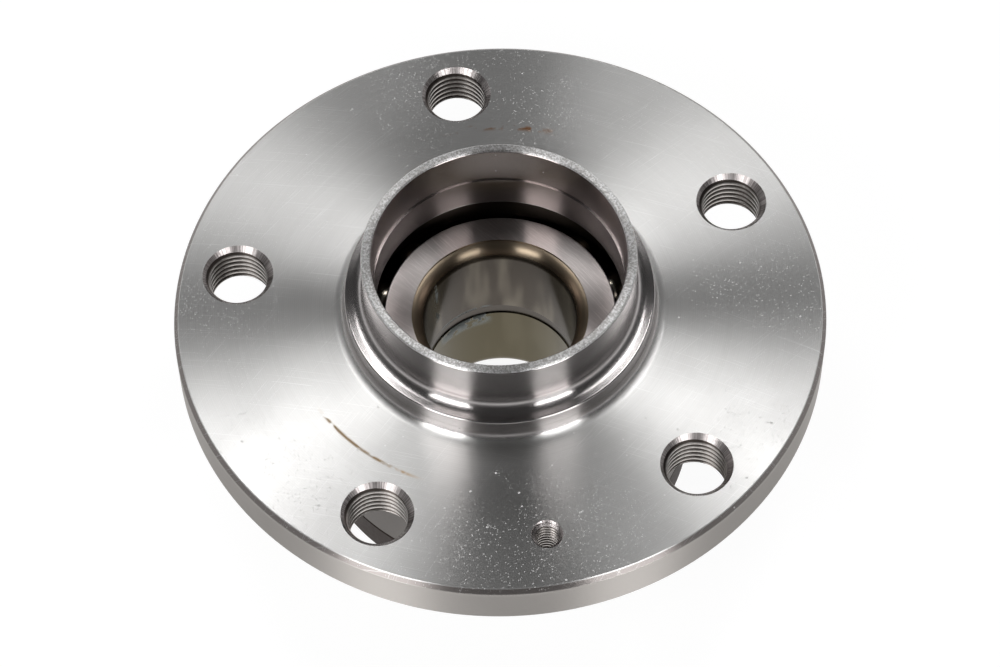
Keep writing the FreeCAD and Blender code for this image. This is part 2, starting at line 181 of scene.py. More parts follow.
class BearingSizes(PropertyGroup):
    raceway_ease: length("Raceway ease", "How much larger the raceway's arc is than the ball", 0.224 * MM)
    ball_clearance: length("Ball clearance", "Along the contact line", 0.06 * MM)
    contact_angle: angle("Contact angle", "Of the balls in the raceways", 38)
    outer_shoulder: length("Outer shoulder", "Inside radius of the land between the rows", 30.4 * MM)
    bore_corner: length("Bore corner", "Round at the mouth of the bore", 3.5 * MM)
    bore_relief: length("Bore relief", "How far that round starts below the face", 0.3 * MM)
    bore_step: length("Bore step", "Width of the step round the bore's mouth", 2.6 * MM)
    coupling_thickness: length("Coupling thickness", "Of the spring ring in the bore", 0.6 * MM)
    coupling_hook: length("Coupling hook", "Height of the spring ring's hooks", 0.75 * MM)
    coupling_hook_width: length("Coupling hook width", "Along the axle", 0.5 * MM)
    coupling_recess: length("Coupling recess", "How far the spring ring lies behind the bore", 0.3 * MM)
    coupling_play: length("Coupling play", "Between the spring ring and its groove", 0.1 * MM)
    coupling_slot: length("Coupling slot", "Gap in the spring ring", 3.0 * MM)
    sheet: length("Seal sheet", "Thickness of the seal's pressed rings", 0.8 * MM)
    bend: length("Seal bend", "Inside radius of their bends", 0.3 * MM)
    case_web: length("Seal case web", "How far the case reaches in behind the lip's rim", 2.4 * MM)
    carrier_foot: length("Carrier foot", "How far the encoder's carrier reaches in", 3.1 * MM)


class FinishColours(PropertyGroup):
    steel: colour("Turned steel", "Flange face", (0.68, 0.675, 0.665, 1))
    collar: colour("Collar", "Finely turned collar", (0.50, 0.475, 0.47, 1))
    inside: colour("Collar inside", "The cap's seat", (0.40, 0.35, 0.34, 1))
    ring_marks: colour("Ring marks", "Darker turning marks on the face", (0.30, 0.29, 0.28, 1))
    rim_dark: colour("Rim, dark", "Dents on the collar's rim", (0.42, 0.41, 0.40, 1))
    rim_bright: colour("Rim, bright", "Worn places on the collar's rim", (0.86, 0.86, 0.86, 1))
    # Painted shade: the chamfer's dark tone draws the dark line along the face's edge.
    chamfer: colour("Flange chamfer", "Chamfer at the edge of the face", (0.24, 0.21, 0.20, 1))
    side: colour("Flange side", "Outer edge of the flange", (0.43, 0.40, 0.375, 1))
    # Barrel: partly the duller steel's own tone, partly painted shade under the flange.
    barrel: colour("Barrel", "Back of the flange and the barrel", (0.16, 0.145, 0.135, 1))
    # Painted shade: the ball chamber's near-black tone, with a film of grease.
    chamber_shade_and_grease: colour("Ball chamber", "Grease film round the balls", (0.07, 0.055, 0.045, 1))
    # Painted shade in the threads' roots, and painted highlight on their lighter crests.
    thread: colour("Threads", "Roots of the tapped threads", (0.115, 0.098, 0.088, 1))
    crest_dark: colour("Thread crests, dark", "Crests of the threads", (0.50, 0.465, 0.44, 1))
    crest_bright: colour("Thread crests, bright", "Crests of the threads", (0.62, 0.59, 0.565, 1))
    mouth_dark: colour("Hole mouths, dark", "Chatter marks on the countersinks", (0.31, 0.28, 0.275, 1))
    mouth_bright: colour("Hole mouths, bright", "Chatter marks on the countersinks", (0.64, 0.60, 0.59, 1))
    marks: colour("Handling marks", "Specks and scratches", (0.93, 0.93, 0.93, 1))
    rust: colour("Rust", "Marks of rust", (0.36, 0.19, 0.10, 1))
    light_rust: colour("Light rust", "Thin line of rust", (0.46, 0.30, 0.14, 1))
    ring_steel: colour("Ground steel", "Inner rings", (0.47, 0.43, 0.42, 1))
    rubbed: colour("Rubbed steel", "Rubbed lines on the inner rings", (0.74, 0.70, 0.68, 1))
    bronzed: colour("Bronzed corner", "Round at the bore's mouth", (0.27, 0.215, 0.155, 1))
    # The bore's dark oil film is also painted shade, and its sheen is a painted sheen.
    bore_oil_and_shade: colour("Oiled bore", "Oil film in the bore", (0.095, 0.08, 0.066, 1))
    painted_oil_sheen: colour("Oil sheen", "Thin places in the oil film", (0.21, 0.185, 0.15, 1))
    inboard_bore_oil_and_shade: colour("Inboard bore", "Oil film further in", (0.125, 0.107, 0.062, 1))
    grease: colour("Grease", "Smears of grease", (0.55, 0.62, 0.63, 1))
    ball: colour("Ball", "Greased balls", (0.42, 0.38, 0.32, 1))
    # Painted shade: the coupling ring is darkened to the bore's shaded, oiled tone.
    spring: colour("Spring steel", "Coupling ring", (0.13, 0.115, 0.10, 1))
    cage: colour("Cage", "Moulded cage", (0.012, 0.010, 0.009, 1))
    seal_steel: colour("Seal sheet steel", "Pressed seal rings", (0.52, 0.51, 0.49, 1))
    rubber: colour("Seal rubber", "Seal lips", (0.02, 0.02, 0.02, 1))
    encoder: colour("Encoder", "Magnetised rubber band", (0.035, 0.022, 0.017, 1))


class StudioSettings(PropertyGroup):
    lens: number("Lens", "Focal length in millimetres", 120.67)
    distance: length("Camera distance", "From the aim point", 704.05 * MM)
    elevation: angle("Elevation", "Of the camera", 57.23)
    azimuth: angle("Azimuth", "Of the camera, from -Y", -8.8)
    roll: angle("Roll", "Of the camera", 1.16024)
    aim_right: length("Aim right", "Aim point beside the flange's centre", -0.104 * MM)
    aim_up: length("Aim up", "Aim point above the flange's centre, up the view", -6.009 * MM)
    floor_size: length("Floor size", "Side of the square floor", 6.0)
    floor_gap: length("Floor gap", "Between the bearing and the floor", 0.2 * MM)
    floor_white: number("Floor white", "Brightness of the floor in full shadow", 0.92)
    floor_shade: number("Floor shade", "How much the light on the floor adds to that", 0.15)
    sky: number("Sky", "Light from the room's dark ceiling", 0.045)
    walls: number("Walls", "Light from the room's low back wall", 0.7)
    low_wall_top: number("Low wall top", "Sine of the height the white horizon ends at", 0.12)
    wall_top: number("Wall top", "Sine of the height the back wall ends at", 0.75)
    lamp_level: number("Lamp level", "Turns all soft boxes up or down", 1.0)
    lamp_distance: length("Lamp distance", "From the flange to each soft box", 1.1)


# ---------------------------------------------------------------- shader maths


class Wire:
    """A socket or a number in a material, with arithmetic that adds the nodes."""

    def __init__(self, tree, value):
        self.tree = tree
        self.value = value

    def maths(self, operation, *others, clamp=False):
        node = self.tree.nodes.new("ShaderNodeMath")
        node.operation = operation
        node.use_clamp = clamp
        for socket, item in zip(node.inputs, (self, *others)):
            plug(self.tree, socket, item)
        return Wire(self.tree, node.outputs[0])

    def __add__(self, other):
        return self.maths("ADD", other)

    __radd__ = __add__

    def __sub__(self, other):
        return self.maths("SUBTRACT", other)

    def __rsub__(self, other):
        return Wire(self.tree, other).maths("SUBTRACT", self)

    def __mul__(self, other):
        return self.maths("MULTIPLY", other)

    __rmul__ = __mul__

    def __truediv__(self, other):
        return self.maths("DIVIDE", other)

    def __pow__(self, other):
        return self.maths("POWER", other)

    def clamped(self):
        return self.maths("ADD", 0.0, clamp=True)

    def between(self, start, end):
        """0 below start, 1 above end and smooth in between (or the other way round if start > end)."""
        node = self.tree.nodes.new("ShaderNodeMapRange")
        node.interpolation_type = "SMOOTHSTEP"
        flipped = start > end
        plug(self.tree, node.inputs["Value"], self)
        node.inputs["From Min"].default_value = min(start, end)
        node.inputs["From Max"].default_value = max(start, end)
        node.inputs["To Min"].default_value = 1.0 if flipped else 0.0
        node.inputs["To Max"].default_value = 0.0 if flipped else 1.0
        return Wire(self.tree, node.outputs["Result"])


def plug(tree, socket, item):
    item = item.value if isinstance(item, Wire) else item
    if isinstance(item, bpy.types.NodeSocket):
        tree.links.new(item, socket)
    else:
        socket.default_value = item


class Finish:
    """A material being made: node() adds any node, and the helpers name its common patterns."""

    def __init__(self, name):
        self.material = bpy.data.materials.new(name)
        self.material.use_nodes = True
        self.tree = self.material.node_tree
        self.shader = self.tree.nodes["Principled BSDF"]
        self.place = self.node("ShaderNodeTexCoord")["Object"]
        x, y, z = self.split(self.place)
        self.x, self.y, self.z = x, y, z
        self.radius = (x * x + y * y) ** 0.5
        self.turn = y.maths("ARCTAN2", x)

    def node(self, kind, settings=None, **sockets):
        """Adds a node, and returns its outputs by name."""
        node = self.tree.nodes.new(kind)
        for key, value in (settings or {}).items():
            setattr(node, key, value)
        for key, value in sockets.items():
            names = [socket for socket in node.inputs if socket.identifier == key or socket.name == key]
            socket = next((item for item in names if item.enabled), names[0])
            plug(self.tree, socket, value)
        return {socket.name: Wire(self.tree, socket) for socket in node.outputs if socket.enabled}

    def split(self, vector):
        parts = self.node("ShaderNodeSeparateXYZ", Vector=vector)
        return parts["X"], parts["Y"], parts["Z"]

    def joined(self, x, y, z):
        return self.node("ShaderNodeCombineXYZ", X=x, Y=y, Z=z)["Vector"]

    def noise(self, place, scale, detail=2.0, roughness=0.5):
        made = self.node("ShaderNodeTexNoise", Vector=place, Scale=scale, Detail=detail, Roughness=roughness)
        return made["Fac"]

    def stretched_noise(self, across, along, third, detail=2.0, roughness=0.5):
        """Noise drawn out into lines, from three stretched coordinates."""
        return self.noise(self.joined(across, along, third), 1.0, detail, roughness)

    def mixed(self, share, first, second):
        """Mixes two colours."""
        colours = {"Factor_Float": share, "A_Color": first, "B_Color": second}
        return self.node("ShaderNodeMix", {"data_type": "RGBA"}, **colours)["Result"]

    def bump(self, height, distance, strength=1.0):
        return self.node("ShaderNodeBump", Height=height, Distance=distance, Strength=strength)["Normal"]

    def shade(self, **sockets):
        for name, value in sockets.items():
            plug(self.tree, self.shader.inputs[name.replace("_", " ")], value)
        return self.material


# ---------------------------------------------------------------- modelling helpers


def arc_steps(angle):
    return max(2, round(abs(angle) / ARC_STEP))


def draw_outline(bm, corners, closed=True):
    """Draws an outline of (radius, height) corners in the XZ plane. A third value is the radius of an
    arc that leads to the next corner: a positive one turns counter-clockwise."""
    places = [Vector((corner[0], 0, corner[1])) for corner in corners]
    pen = bm.verts.new(places[0])
    drawn = [pen]
    for index in range(len(corners) if closed else len(corners) - 1):
        target = places[(index + 1) % len(places)]
        if len(corners[index]) == 2:
            pen = bmesh.ops.extrude_vert_indiv(bm, verts=[pen])["verts"][0]
            pen.co = target
            drawn.append(pen)
            continue
        bend = corners[index][2]
        chord = target - pen.co
        left = Vector((-chord.z, 0, chord.x)).normalized()
        rise = math.sqrt(max(bend**2 - (chord.length / 2) ** 2, 0))
        centre = (pen.co + target) / 2 + left * math.copysign(rise, bend)
        angle = math.copysign(2 * math.asin(min(chord.length / 2 / abs(bend), 1)), bend)
        before = set(bm.verts)
        made = bmesh.ops.spin(
            bm, geom=[pen], cent=centre, axis=(0, -1, 0), angle=angle, steps=arc_steps(angle)
        )
        pen = next(item for item in made["geom_last"] if isinstance(item, bmesh.types.BMVert))
        drawn += [vert for vert in bm.verts if vert not in before]
    bmesh.ops.remove_doubles(bm, verts=[vert for vert in drawn if vert.is_valid], dist=1e-7)


def turned(bm, corners, segments=256, closed=True, angle=FULL_TURN):
    """Draws an outline, turns it about Z and adds it to the mesh."""
    piece = bmesh.new()
    draw_outline(piece, corners, closed)
    whole = abs(angle - FULL_TURN) < 1e-6
    bmesh.ops.spin(
        piece,
        geom=piece.verts[:] + piece.edges[:],
        cent=(0, 0, 0),
        axis=(0, 0, 1),
        angle=angle,
        steps=segments,
        use_merge=whole,
    )
    add_to(bm, piece)


def as_mesh(bm, name):
    mesh = bpy.data.meshes.new(name)
    bm.to_mesh(mesh)
    bm.free()
    return mesh


def add_to(bm, piece):
    """Moves a small mesh into the piece being made."""
    mesh = as_mesh(piece, "part")
    bm.from_mesh(mesh)
    bpy.data.meshes.remove(mesh)


def in_place(corners, height, side=1):
    """Moves a ring's outline of (radius, height) corners up, and flips it over for side -1."""
    return [
        (corner[0], height + corner[1] * side, *(bend * side for bend in corner[2:])) for corner in corners
    ]


def threaded_wall(minor, major, pitch, mouth, top, bottom, steps):
    """A thread's wall about Z, with a countersink at each end: one helical turn, stacked up."""
    root_flat, crest_flat = pitch / 8, pitch / 4
    flank = (pitch - root_flat - crest_flat) / 2
    heights = [0, root_flat, root_flat + flank, root_flat + flank + crest_flat, pitch]
    radii = [major, major, minor, minor, major]
    bm = bmesh.new()
    made = [bm.verts.new((radius, 0, bottom - 2 * pitch + height)) for radius, height in zip(radii, heights)]
    for pair in zip(made, made[1:]):
        bm.edges.new(pair)
    bmesh.ops.spin(
        bm,
        geom=bm.verts[:] + bm.edges[:],
        cent=(0, 0, 0),
        axis=(0, 0, 1),
        dvec=(0, 0, pitch / steps),
        angle=FULL_TURN,
        steps=steps,
    )
    turn = bm.verts[:] + bm.edges[:] + bm.faces[:]
    for index in range(1, math.ceil((top - bottom) / pitch) + 3):
        copy = bmesh.ops.duplicate(bm, geom=turn)["geom"]
        verts = [item for item in copy if isinstance(item, bmesh.types.BMVert)]
        bmesh.ops.translate(bm, verts=verts, vec=(0, 0, index * pitch))
    for vert in bm.verts:
        height = min(max(vert.co.z, bottom), top)
        cone = mouth - min(top - height, height - bottom)
        vert.co.xy *= max(vert.co.xy.length, cone) / vert.co.xy.length
        vert.co.z = height
    bmesh.ops.remove_doubles(bm, verts=bm.verts, dist=2e-6)
    return as_mesh(bm, "thread")


def cut_thread(bm, wall, centre):
    """Adds a thread's wall about a hole's own axis."""
    before, faces_before = len(bm.verts), len(bm.faces)
    bm.from_mesh(wall)
    bm.verts.ensure_lookup_table()
    bm.faces.ensure_lookup_table()
    bmesh.ops.translate(bm, verts=bm.verts[before:], vec=(*centre, 0))
    for face in bm.faces[faces_before:]:
        face.material_index = 1


def rim_edges(bm, height):
    """The open edges of the mesh that lie in one flat face."""
    return [
        edge
        for edge in bm.edges
        if edge.is_boundary and all(abs(vert.co.z - height) < 1e-6 for vert in edge.verts)
    ]


def finished(bm, name, materials, body, nodes):
    """Makes the object, smooth but for its sharp edges, and gives it its place in the frame."""
    bmesh.ops.dissolve_degenerate(bm, dist=1e-7, edges=bm.edges)
    bmesh.ops.recalc_face_normals(bm, faces=bm.faces)
    for face in bm.faces:
        face.smooth = True
    for edge in bm.edges:
        edge.smooth = edge.is_manifold and edge.calc_face_angle(0) < SHARP_EDGE
    mesh = as_mesh(bm, name)
    for material in materials:
        mesh.materials.append(material)
    piece = bpy.data.objects.new(name, mesh)
    bpy.context.scene.collection.objects.link(piece)
    weighted = piece.modifiers.new("flat faces", "WEIGHTED_NORMAL")
    weighted.keep_sharp = True
    weighted.weight = 100
    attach(piece, body)
    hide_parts(*nodes)
    return piece


def ring_piece(name, corners, material, body, node):
    """A whole turned ring of one material, in place of one node."""
    bm = bmesh.new()
    turned(bm, corners)
    return finished(bm, name, [material], body, [node])


# ---------------------------------------------------------------- finishes


def specks(finish, scale, share, size=0.2):
    """Small round marks, one in some of the cells of a grid."""
    cells = finish.node("ShaderNodeTexVoronoi", Vector=finish.place, Scale=scale)
    chosen = finish.split(cells["Color"])[0].between(1 - share, 1 - share * 0.8)
    return cells["Distance"].between(size, size * 0.5) * chosen


def scratches(finish, angle, length, width, share, seed=0.0):
    """Thin, slightly bent lines that run one way."""
    turned_place = finish.node(
        "ShaderNodeVectorRotate", {"rotation_type": "Z_AXIS"}, Vector=finish.place, Angle=math.radians(angle)
    )["Vector"]
    x, y, z = finish.split(turned_place)
    lines = finish.stretched_noise(x / length + seed, (y + x * x * 1.5) / width, (z + seed) * 90.0, 0.0)
    return lines.between(0.80 - share, 0.84 - share)


def arc_mark(finish, radius, width, middle, reach):
    """A mark that something left as it rubbed on the turning face: 1 on the arc's middle, 0 past its ends."""
    across = (finish.radius - radius).maths("ABSOLUTE").between(width, 0.0)
    turn = (finish.turn - math.radians(middle)).maths("WRAP", math.pi, -math.pi).maths("ABSOLUTE")
    on_face = finish.z.between(FLANGE_FACE - 0.1 * MM, FLANGE_FACE - 0.05 * MM)
    above = finish.z.between(FLANGE_FACE + 0.6 * MM, FLANGE_FACE + 0.4 * MM)
    return across * turn.between(math.radians(reach), math.radians(reach * 0.6)) * on_face * above


def darker(colour_value, share):
    return [part * share for part in colour_value[:3]] + [1]


def hub_finish(colours):
    """Bare turned steel: bright face, finer collar, duller side and back, rust and handling marks, with
    painted shade darkening the back and barrel, the face's chamfer and the ball chamber.
    """
    finish = Finish("hub_turned_steel")
    place, radius, z = finish.place, finish.radius, finish.z
    collar = z.between(FLANGE_FACE + 0.2 * MM, FLANGE_FACE + 1.2 * MM)
    inside = radius.between(WHEEL_PILOT - 0.6 * MM, WHEEL_PILOT - 1.0 * MM) * collar
    under_face = z.between(FLANGE_FACE - 0.5 * MM, FLANGE_FACE - 1.0 * MM)
    under_face = under_face * radius.between(38.0 * MM, 37.0 * MM)
    # Painted shade: the ball chamber and the hollow under the face go near black.
    chamber = z.between(FLANGE_FACE + 0.6 * MM, FLANGE_FACE + 0.4 * MM)
    chamber = (chamber * radius.between(31.6 * MM, 31.4 * MM)).maths("MAXIMUM", under_face)
    lip = z.between(RIM_TOP - 0.35 * MM, RIM_TOP - 0.25 * MM)
    side = radius.between(FLANGE_RADIUS - 0.15 * MM, FLANGE_RADIUS - 0.05 * MM)
    back = z.between(FLANGE_FACE - 1.2 * MM, FLANGE_FACE - 2.2 * MM)

    rings = finish.stretched_noise(radius / (0.42 * MM), 0.0, z / (0.42 * MM), 1.5, 0.6)
    fine_rings = finish.stretched_noise(radius / (0.12 * MM), 0.0, z / (0.12 * MM), 2.0, 0.6)
    cloudy = finish.noise(place, 60.0, 3.0)
    fine = finish.noise(place, 1100.0, 2.0)

    tone = finish.mixed(cloudy.between(0.35, 0.7), colours.steel, darker(colours.steel, 0.95))
    tool_marks = (radius / (0.07 * MM)).maths("SINE") * 0.025 + 0.025
    tone = finish.mixed(rings.between(0.35, 0.7) * 0.05 + tool_marks, tone, colours.ring_marks)
    tone = finish.mixed(collar * (1 - lip), tone, colours.collar)
    tone = finish.mixed(inside * 0.85, tone, colours.inside)
    # Painted shade: a dark line on the face's chamfer.
    chamfer = radius.between(FLANGE_RADIUS - 0.9 * MM, FLANGE_RADIUS - 0.75 * MM) * (1 - side)
    chamfer = chamfer * z.between(FLANGE_FACE - 0.03 * MM, FLANGE_FACE - 0.12 * MM)
    tone = finish.mixed(side * 0.8, tone, colours.side)
    tone = finish.mixed(chamfer * 0.85, tone, colours.chamfer)
    # Painted shade over the duller steel: the flange's back and the barrel darkened.
    tone = finish.mixed(back * (1 - side) * 0.9, tone, colours.barrel)
    tone = finish.mixed(chamber, tone, colours.chamber_shade_and_grease)

    patches = finish.noise(place, 60.0, 3.0, 0.6).between(0.26, 0.64) * radius.between(30.0 * MM, 58.0 * MM)
    dust = (specks(finish, 1500.0, 0.12, 0.24) + specks(finish, 2700.0, 0.24, 0.33)).clamped() * patches
    pale = (dust + specks(finish, 520.0, 0.10, 0.14)).clamped() * (1 - side) * (1 - back) * (1 - collar * 0.6)
    scratch = scratches(finish, 24, 14 * MM, 0.13 * MM, 0.045)
    scratch = scratch + scratches(finish, -38, 9 * MM, 0.11 * MM, 0.045, 3.7)
    scratch = scratch * (1 - back) * (1 - side) * (1 - collar)
    tone = finish.mixed((scratch * 0.35 + pale * 0.5).clamped(), tone, colours.marks)

    stain = finish.stretched_noise(finish.turn * 10.0, radius / (3.2 * MM), 0.0, 2.5, 0.6)
    back_rust = arc_mark(finish, 46.2 * MM, 1.2 * MM, 80, 17) * stain.between(0.47, 0.57)
    front_rust = arc_mark(finish, 45.1 * MM, 0.55 * MM, 222, 19) * stain.between(0.38, 0.54)
    tone = finish.mixed(back_rust, tone, colours.rust)
    tone = finish.mixed(front_rust * 0.85, tone, colours.light_rust)

    nicks = finish.noise(place, 2600.0, 2.0, 0.7)
    lip_tone = finish.mixed(nicks.between(0.40, 0.62), colours.rim_dark, colours.rim_bright)
    tone = finish.mixed(lip * 0.85, tone, lip_tone)

    roughness = 0.29 - collar * 0.14 + cloudy * 0.05 + fine * 0.04 + lip * 0.22
    roughness = roughness + side * 0.10 + back * 0.06 + (back_rust + front_rust) * 0.2
    normal = finish.bump(fine_rings * 0.2 + nicks * lip * 1.6 + pale * 0.9, 0.02 * MM)
    return finish.shade(
        Base_Color=tone,
        Metallic=1.0 - pale * 0.7,
        Roughness=(roughness + pale * 0.2).clamped(),
        Normal=normal,
        Anisotropic=0.98,
        Anisotropic_Rotation=0.25,
    )


def thread_finish(colours):
    """Tapped and countersunk walls: roots darkened as painted shade, crests kept lighter as painted
    highlight, and chatter marks across the countersink.
    """
    finish = Finish("hub_tapped_steel")
    pitch_angle = FULL_TURN / (2 * BOLT_COUNT)
    sector = ((finish.turn - FIRST_BOLT) / pitch_angle).maths("ROUND") * pitch_angle + FIRST_BOLT
    turn = finish.turn - sector
    out = finish.radius * turn.maths("COSINE") - BOLT_CIRCLE
    across = finish.radius * turn.maths("SINE")
    around = across.maths("ARCTAN2", out)
    reach = (out * out + across * across).maths("SQRT")
    near_screw = reach.between(3.7 * MM, 3.6 * MM)
    # Painted shade: the thread's roots darkened against the crests.
    root_shade = reach.between(BOLT_MINOR + 0.04 * MM, BOLT_MINOR + 0.32 * MM)
    root_shade = root_shade + near_screw * reach.between(SCREW_MINOR + 0.03 * MM, SCREW_MINOR + 0.2 * MM)
    chatter = finish.stretched_noise(around * 34.0, sector, 0.0, 2.0, 0.7)
    fine = finish.noise(finish.place, 1500.0, 3.0, 0.6)
    mouth = finish.z.between(FLANGE_FACE - 1.5 * MM, FLANGE_FACE - 1.2 * MM)
    # Lighter crests: painted highlight.
    tone = finish.mixed(fine.between(0.35, 0.65), colours.crest_dark, colours.crest_bright)
    tone = finish.mixed(root_shade, tone, colours.thread)
    mouth_tone = finish.mixed(chatter.between(0.40, 0.60), colours.mouth_dark, colours.mouth_bright)
    tone = finish.mixed(mouth, tone, mouth_tone)
    normal = finish.bump(chatter * mouth + fine * 0.25, 0.02 * MM)
    return finish.shade(Base_Color=tone, Metallic=1.0, Roughness=0.27 + fine * 0.14, Normal=normal)


def ring_finish(colours):
    """Ground rings: mauve-grey face, bronzed corner, and an oil film in the bore, darkened as painted shade
    and streaked with painted sheen, with smears of grease.
    """
    finish = Finish("ring_ground_steel")
    place, radius, z, turn = finish.place, finish.radius, finish.z, finish.turn
    fine = finish.noise(place, 1500.0, 2.0)
    cloudy = finish.noise(place, 130.0, 3.0)
    lathe = finish.stretched_noise(radius / (0.1 * MM), 0.0, z / (0.1 * MM))
    tone = finish.mixed(cloudy.between(0.35, 0.7), colours.ring_steel, darker(colours.ring_steel, 0.88))
    rubbed = scratches(finish, 62, 9 * MM, 0.16 * MM, 0.13)
    rubbed = rubbed + scratches(finish, 48, 14 * MM, 0.13 * MM, 0.12, 5.3)
    tone = finish.mixed(rubbed.clamped() * 0.4, tone, colours.rubbed)

    corner = radius.between(SPINDLE_BORE + 2.75 * MM, SPINDLE_BORE + 2.55 * MM)
    in_bore = radius.between(SPINDLE_BORE + 0.45 * MM, SPINDLE_BORE + 0.1 * MM)
    tone = finish.mixed(corner, tone, colours.bronzed)
    # Painted shade and painted sheen in the bore: a dark oil film streaked with lighter sheen.
    painted_sheen_streaks = finish.stretched_noise(turn * 2.6, 0.0, z / (34.0 * MM))
    bore_film_and_shade = finish.mixed(painted_sheen_streaks.between(0.46, 0.66), colours.bore_oil_and_shade, colours.painted_oil_sheen)
    lower = z.between(RING_JOINT - 0.5 * MM, RING_JOINT - 1.5 * MM)
    bore_film_and_shade = finish.mixed(lower * 0.8, bore_film_and_shade, colours.inboard_bore_oil_and_shade)
    tone = finish.mixed(in_bore, tone, bore_film_and_shade)

    wobble = finish.noise(place, 420.0, 3.0, 0.6)
    edge = z.between(RING_JOINT + 2.2 * MM, RING_JOINT + 1.5 * MM)
    edge = edge * z.between(RING_JOINT - 6.0 * MM, RING_JOINT - 2.0 * MM)
    left = (turn - math.radians(112)).maths("ABSOLUTE").between(0.46, 0.24)
    smear = edge * left * wobble.between(0.38, 0.50)
    streak = (turn - math.radians(139) + (wobble - 0.5) * 0.12).maths("ABSOLUTE").between(0.045, 0.015)
    streak = streak * z.between(RING_JOINT + 6.0 * MM, RING_JOINT + 9.0 * MM) * wobble.between(0.40, 0.52)
    grease = ((smear + streak) * in_bore).clamped()
    tone = finish.mixed(grease * 0.9, tone, colours.grease)
    return finish.shade(
        Base_Color=tone,
        Metallic=1.0 - grease * 0.9,
        Roughness=0.27 + fine * 0.02 + grease * 0.2 - in_bore * 0.04,
        Normal=finish.bump(lathe, 0.003 * MM),
        Anisotropic=0.9,
        Anisotropic_Rotation=0.25,
    )


def plain_finish(name, colour_value, metallic, roughness, grain=1200.0):
    finish = Finish(name)
    fine = finish.noise(finish.place, grain, 3.0)
    tone = finish.mixed(fine, darker(colour_value, 0.8), colour_value)
    return finish.shade(
        Base_Color=tone,
        Metallic=metallic,
        Specular_IOR_Level=0.3,
        Roughness=roughness * 0.8 + fine * (roughness * 0.4),
        Normal=finish.bump(fine, 0.01 * MM, 0.5),
    )


# ---------------------------------------------------------------- pieces


class HUB_OT_hub_flange(Operator):
    """Turned flange, collar and barrel, with threaded holes"""

    bl_idname = "hub.hub_flange"
    bl_label = "Hub flange"

    def execute(self, context):
        sizes = context.scene.hub_sizes
        rings = context.scene.hub_bearing
        bm = bmesh.new()
        back = FLANGE_FACE - sizes.flange_thickness
        pilot_top = FLANGE_FACE + sizes.disc_pilot_height
        fillet = sizes.pilot_fillet
        edge = sizes.edge_break
        chamfer = sizes.flange_chamfer
        turned(
            bm,
            [
                (FLANGE_RADIUS - chamfer, FLANGE_FACE),
                (FLANGE_RADIUS, FLANGE_FACE - chamfer),
                (FLANGE_RADIUS, back + chamfer),
                (FLANGE_RADIUS - chamfer, back),
            ],
            closed=False,
        )
        collar_bore = CAP_BORE - sizes.cap_seat_step
        chamber_top = FLANGE_FACE + sizes.chamber_height
        barrel = sizes.barrel_radius
        groove = BALL_RADIUS + rings.raceway_ease
        shift = rings.raceway_ease - rings.ball_clearance
        groove_radius = PITCH_RADIUS - math.cos(rings.contact_angle) * shift
        groove_offset = ROW_OFFSET + math.sin(rings.contact_angle) * shift
        shoulder = rings.outer_shoulder
        shoulder_offset = groove_offset - math.sqrt(groove**2 - (shoulder - groove_radius) ** 2)
        chamber = shoulder + sizes.chamber_ease
        chamber_start = groove_offset + math.sqrt(groove**2 - (chamber - groove_radius) ** 2)
        encoder_seat = barrel - sizes.encoder_seat_step
        encoder_shoulder = BARREL_END + sizes.encoder_seat_width
        seal_shoulder = BARREL_END + sizes.seal_seat_depth
        turned(
            bm,
            [
                (barrel + sizes.barrel_fillet, back, sizes.barrel_fillet),
                (barrel, back - sizes.barrel_fillet),
                (barrel, encoder_shoulder + edge),
                (barrel - edge, encoder_shoulder),
                (encoder_seat, encoder_shoulder),
                (encoder_seat, BARREL_END + edge),
                (encoder_seat - edge, BARREL_END),
                (SEAL_SEAT + edge, BARREL_END),
                (SEAL_SEAT, BARREL_END + edge),
                (SEAL_SEAT, seal_shoulder),
                (groove_radius + groove, seal_shoulder),
                (groove_radius + groove, RING_JOINT - groove_offset, groove),
                (shoulder, RING_JOINT - shoulder_offset),
                (shoulder, RING_JOINT + shoulder_offset, groove),
                (chamber, RING_JOINT + chamber_start),
                (chamber, chamber_top - sizes.chamber_round, sizes.chamber_round),
                (chamber - sizes.chamber_round, chamber_top),
                (collar_bore + edge, chamber_top),
                (collar_bore, chamber_top + edge),
                (collar_bore, RIM_TOP - sizes.cap_seat_depth),
                (CAP_BORE, RIM_TOP - sizes.cap_seat_depth),
                (CAP_BORE, RIM_TOP - sizes.rim_chamfer),
                (CAP_BORE + sizes.rim_chamfer, RIM_TOP),
                (WHEEL_PILOT - sizes.rim_chamfer, RIM_TOP),
                (WHEEL_PILOT, RIM_TOP - sizes.rim_chamfer),
                (WHEEL_PILOT, pilot_top + fillet, fillet),
                (WHEEL_PILOT + fillet, pilot_top),
                (DISC_PILOT - sizes.pilot_round, pilot_top, -sizes.pilot_round),
                (DISC_PILOT, pilot_top - sizes.pilot_round),
                (DISC_PILOT, FLANGE_FACE + fillet, fillet),
                (DISC_PILOT + fillet, FLANGE_FACE),
            ],
            closed=False,
        )
        bolt_wall = threaded_wall(
            BOLT_MINOR, sizes.bolt_thread, sizes.bolt_pitch, sizes.bolt_mouth, FLANGE_FACE, back, 72
        )
        for index in range(BOLT_COUNT):
            angle = FIRST_BOLT + index * FULL_TURN / BOLT_COUNT
            cut_thread(bm, bolt_wall, (BOLT_CIRCLE * math.cos(angle), BOLT_CIRCLE * math.sin(angle)))
        screw_wall = threaded_wall(
            SCREW_MINOR, sizes.screw_thread, sizes.screw_pitch, sizes.screw_mouth, FLANGE_FACE, back, 48
        )
        cut_thread(bm, screw_wall, mount("disc_screw")["pos_m"][:2])
        for height, up in ((FLANGE_FACE, 1), (back, -1)):
            bmesh.ops.triangle_fill(
                bm, edges=rim_edges(bm, height), use_beauty=True, use_dissolve=False, normal=(0, 0, up)
            )
        colours = context.scene.hub_colours
        materials = [hub_finish(colours), thread_finish(colours)]
        finished(bm, "hub_turned", materials, "hub", ["hub_flange"])
        return {"FINISHED"}


